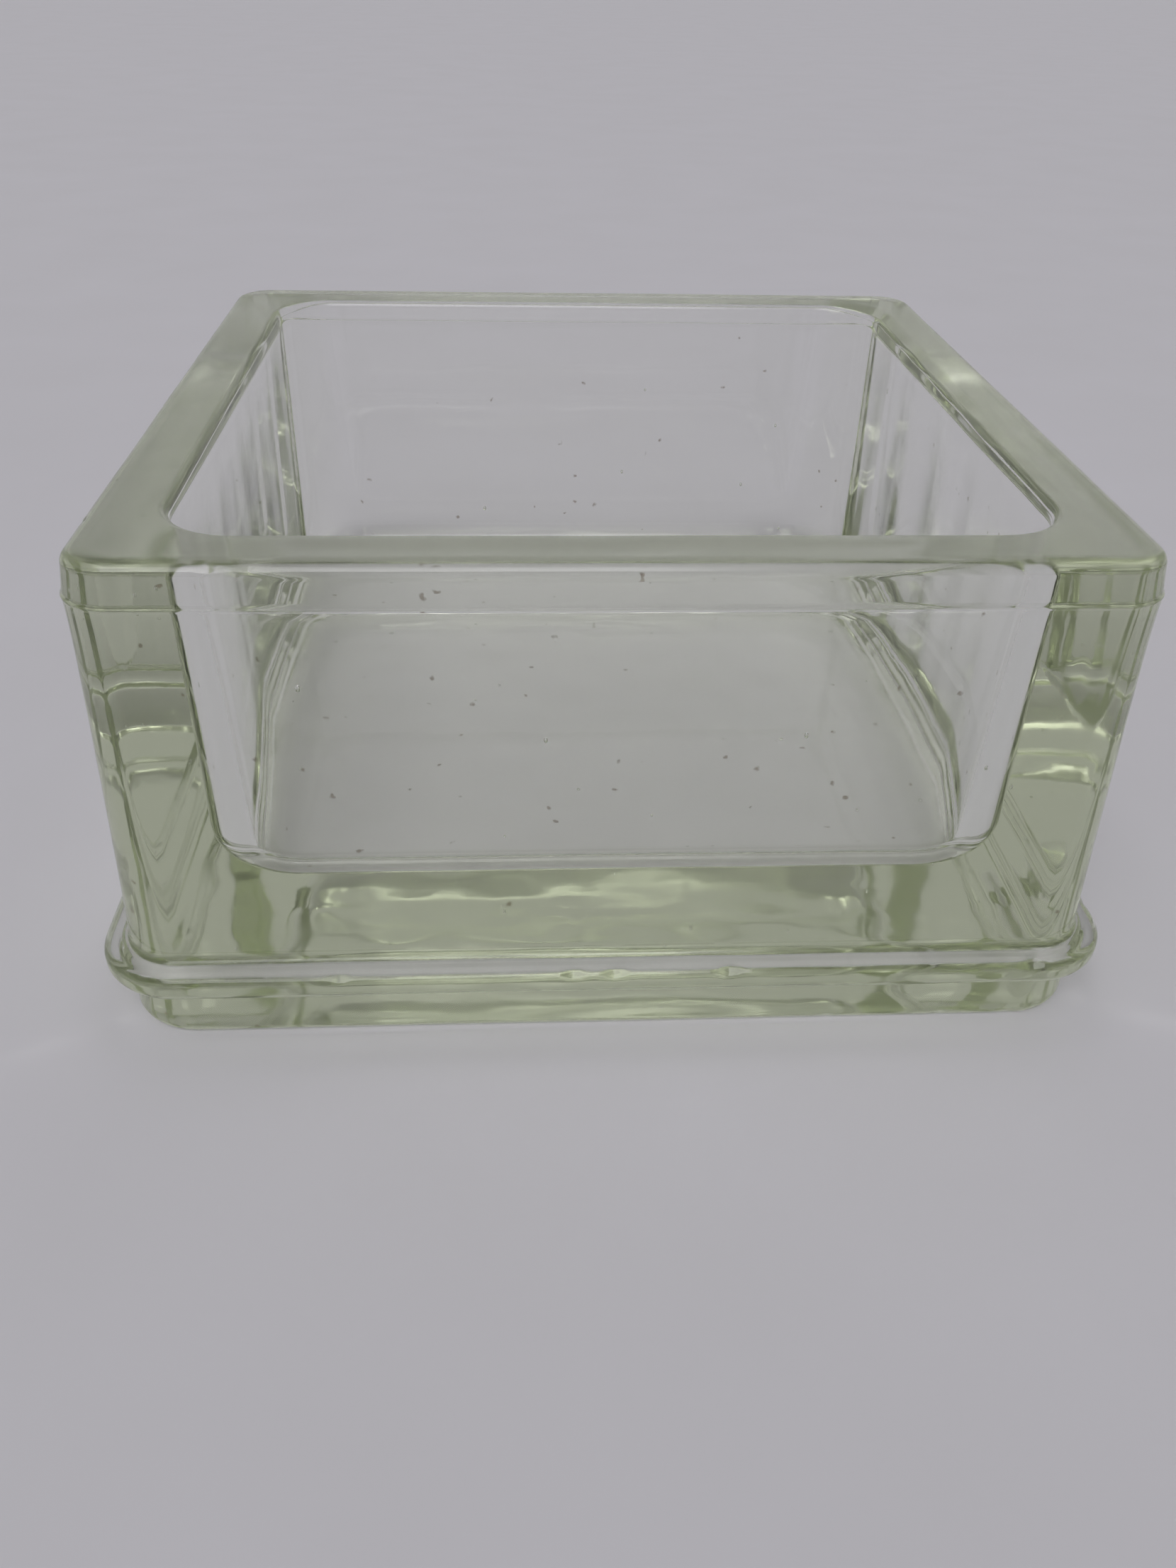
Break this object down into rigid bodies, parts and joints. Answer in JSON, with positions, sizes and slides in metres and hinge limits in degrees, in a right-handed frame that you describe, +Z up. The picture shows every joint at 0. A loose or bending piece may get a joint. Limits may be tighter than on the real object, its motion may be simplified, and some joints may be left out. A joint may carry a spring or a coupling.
{
  "type": "square glass dish",
  "caption": "Thick square pressed-glass dish with an open hollow, flat rim, leaning walls and a beaded foot, for crystallizing, staining or holding small things.",
  "frame": {"origin": "middle of the flat underside, at table level", "axes": "+Z up through the open top, +X and +Y along two neighbouring sides"},
  "size_m": [0.1296, 0.1296, 0.0637],
  "materials": {
    "glass": "pressed glass, pale green, glossy with a satin rim"
  },
  "bodies": {
    "root": {"dish": "glass"}
  },
  "joints": []
}
